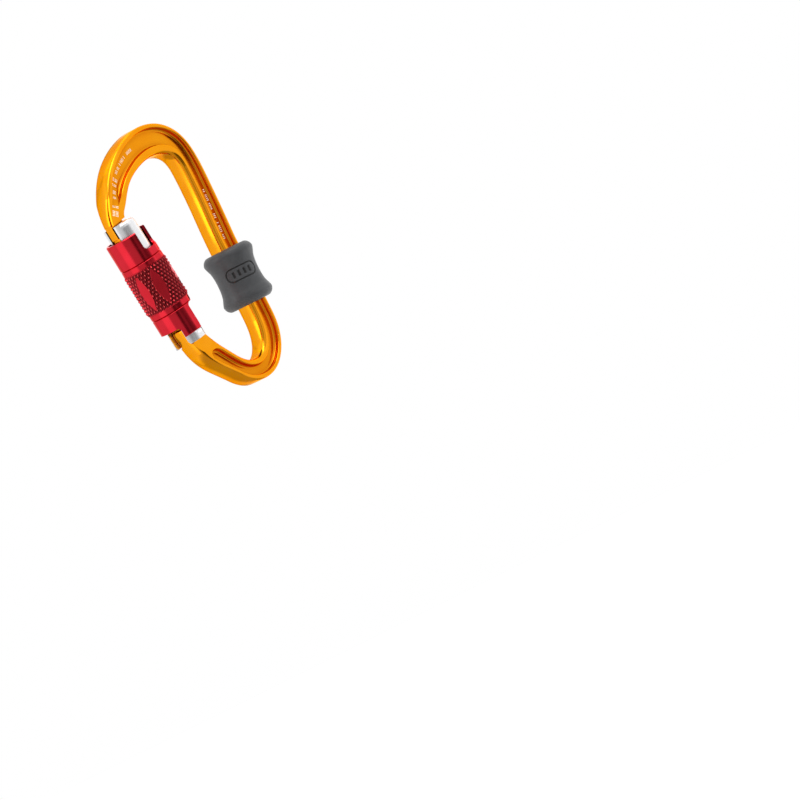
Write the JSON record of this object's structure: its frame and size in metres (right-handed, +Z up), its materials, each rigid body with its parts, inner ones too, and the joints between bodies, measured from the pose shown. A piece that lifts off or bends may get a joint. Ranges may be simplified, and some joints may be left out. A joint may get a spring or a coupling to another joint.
{
  "type": "locking carabiner",
  "caption": "Compact offset-D locking carabiner: hollowed forged frame, keylock gate under a twist-to-open locking sleeve, and a rubber positioning boot on the spine.",
  "frame": {"origin": "lower rope-bearing point: lowest point of the frame's inner edge, mid-thickness, on the load axis", "axes": "+Z up the load axis towards the crown, +X from the gate side to the spine side, +Y the thin direction, away from the pictured side face"},
  "size_m": [0.0657, 0.0198, 0.1041],
  "materials": {
    "gold_anodised": "polished, gold anodised",
    "silver_aluminium": "polished",
    "red_anodised": "polished, red anodised",
    "stainless": "satin",
    "spring_steel": "drawn wire",
    "black_polymer": "matte",
    "grey_rubber": "matte"
  },
  "bodies": {
    "frame": {"frame": "gold_anodised"},
    "gate": {"gate_arm": "silver_aluminium", "hinge_rivet": "stainless", "gate_spring": "spring_steel", "guide_pin": "stainless", "spring_collar": "black_polymer", "retaining_ring": "spring_steel", "sleeve_spring": "spring_steel"},
    "sleeve": {"lock_sleeve": "red_anodised", "cam_bush": "black_polymer"},
    "pusher": {"gate_pusher": "stainless"},
    "boot": {"positioning_boot": "grey_rubber"}
  },
  "joints": [
    {"name": "gate_swing", "type": "hinge", "parent": "frame", "child": "gate", "pos_m": [-0.0257, 0, 0.0205], "axis": [0, 1, 0], "range_deg": [0, 27], "deforming": ["gate_spring"]},
    {"name": "sleeve_twist", "type": "hinge", "parent": "gate", "child": "sleeve", "pos_m": [-0.0285, 0, 0.0403], "axis": [0.1398, 0, -0.9902], "range_deg": [0, 110], "deforming": ["sleeve_spring"]},
    {"name": "pusher_slide", "type": "slide", "parent": "gate", "child": "pusher", "axis": [-0.1398, 0, 0.9902], "range_m": [0, 0.0007]},
    {"name": "boot_slide", "type": "slide", "parent": "frame", "child": "boot", "axis": [0, 0, 1], "range_m": [-0.002, 0.0035]}
  ],
  "couplings": [
    {"joint": "pusher_slide", "follows": "gate_swing", "m_per_rad": 0.0013}
  ]
}
